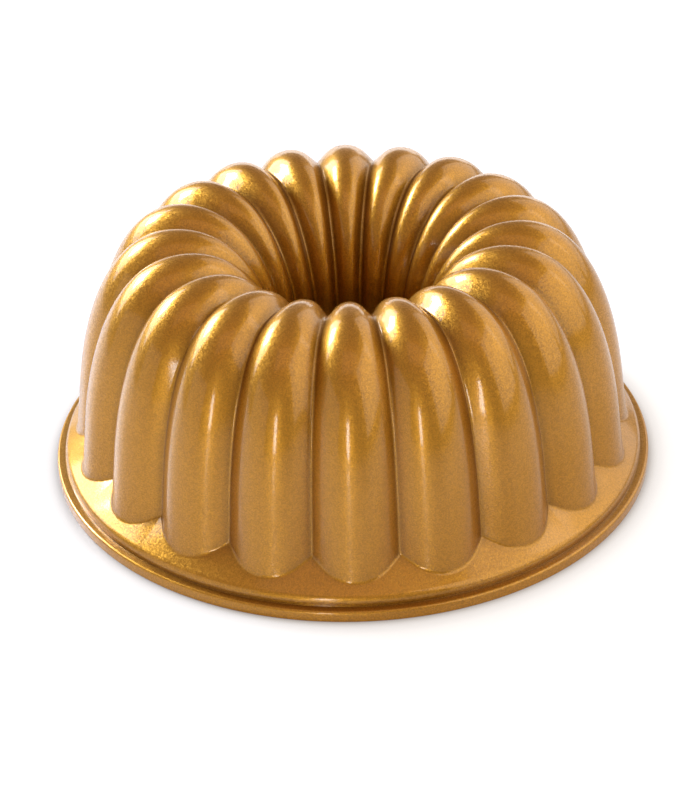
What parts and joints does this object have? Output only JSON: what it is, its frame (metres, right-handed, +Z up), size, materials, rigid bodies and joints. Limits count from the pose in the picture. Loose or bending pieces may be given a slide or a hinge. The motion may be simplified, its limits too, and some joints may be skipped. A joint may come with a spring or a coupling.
{
  "type": "fluted tube pan",
  "caption": "Round cast cake pan with straight radial flutes, a sloping rim flange, a rounded crown and an open centre tube, standing upside down on its rim.",
  "frame": {"origin": "on the pan's axis, at the level of the rim's flat face, which the pan stands on", "axes": "+Z up along the pan's axis, from the rim to the crown; -Y towards the camera, through the crest of a flute"},
  "size_m": [0.26, 0.26, 0.1075],
  "materials": {
    "cast_aluminium": "satin",
    "gold_paint": "gloss",
    "gold_lining": "satin"
  },
  "bodies": {
    "root": {"cast_shell": "cast_aluminium", "outer_gold_coat": "gold_paint", "inner_release_lining": "gold_lining"}
  },
  "joints": []
}
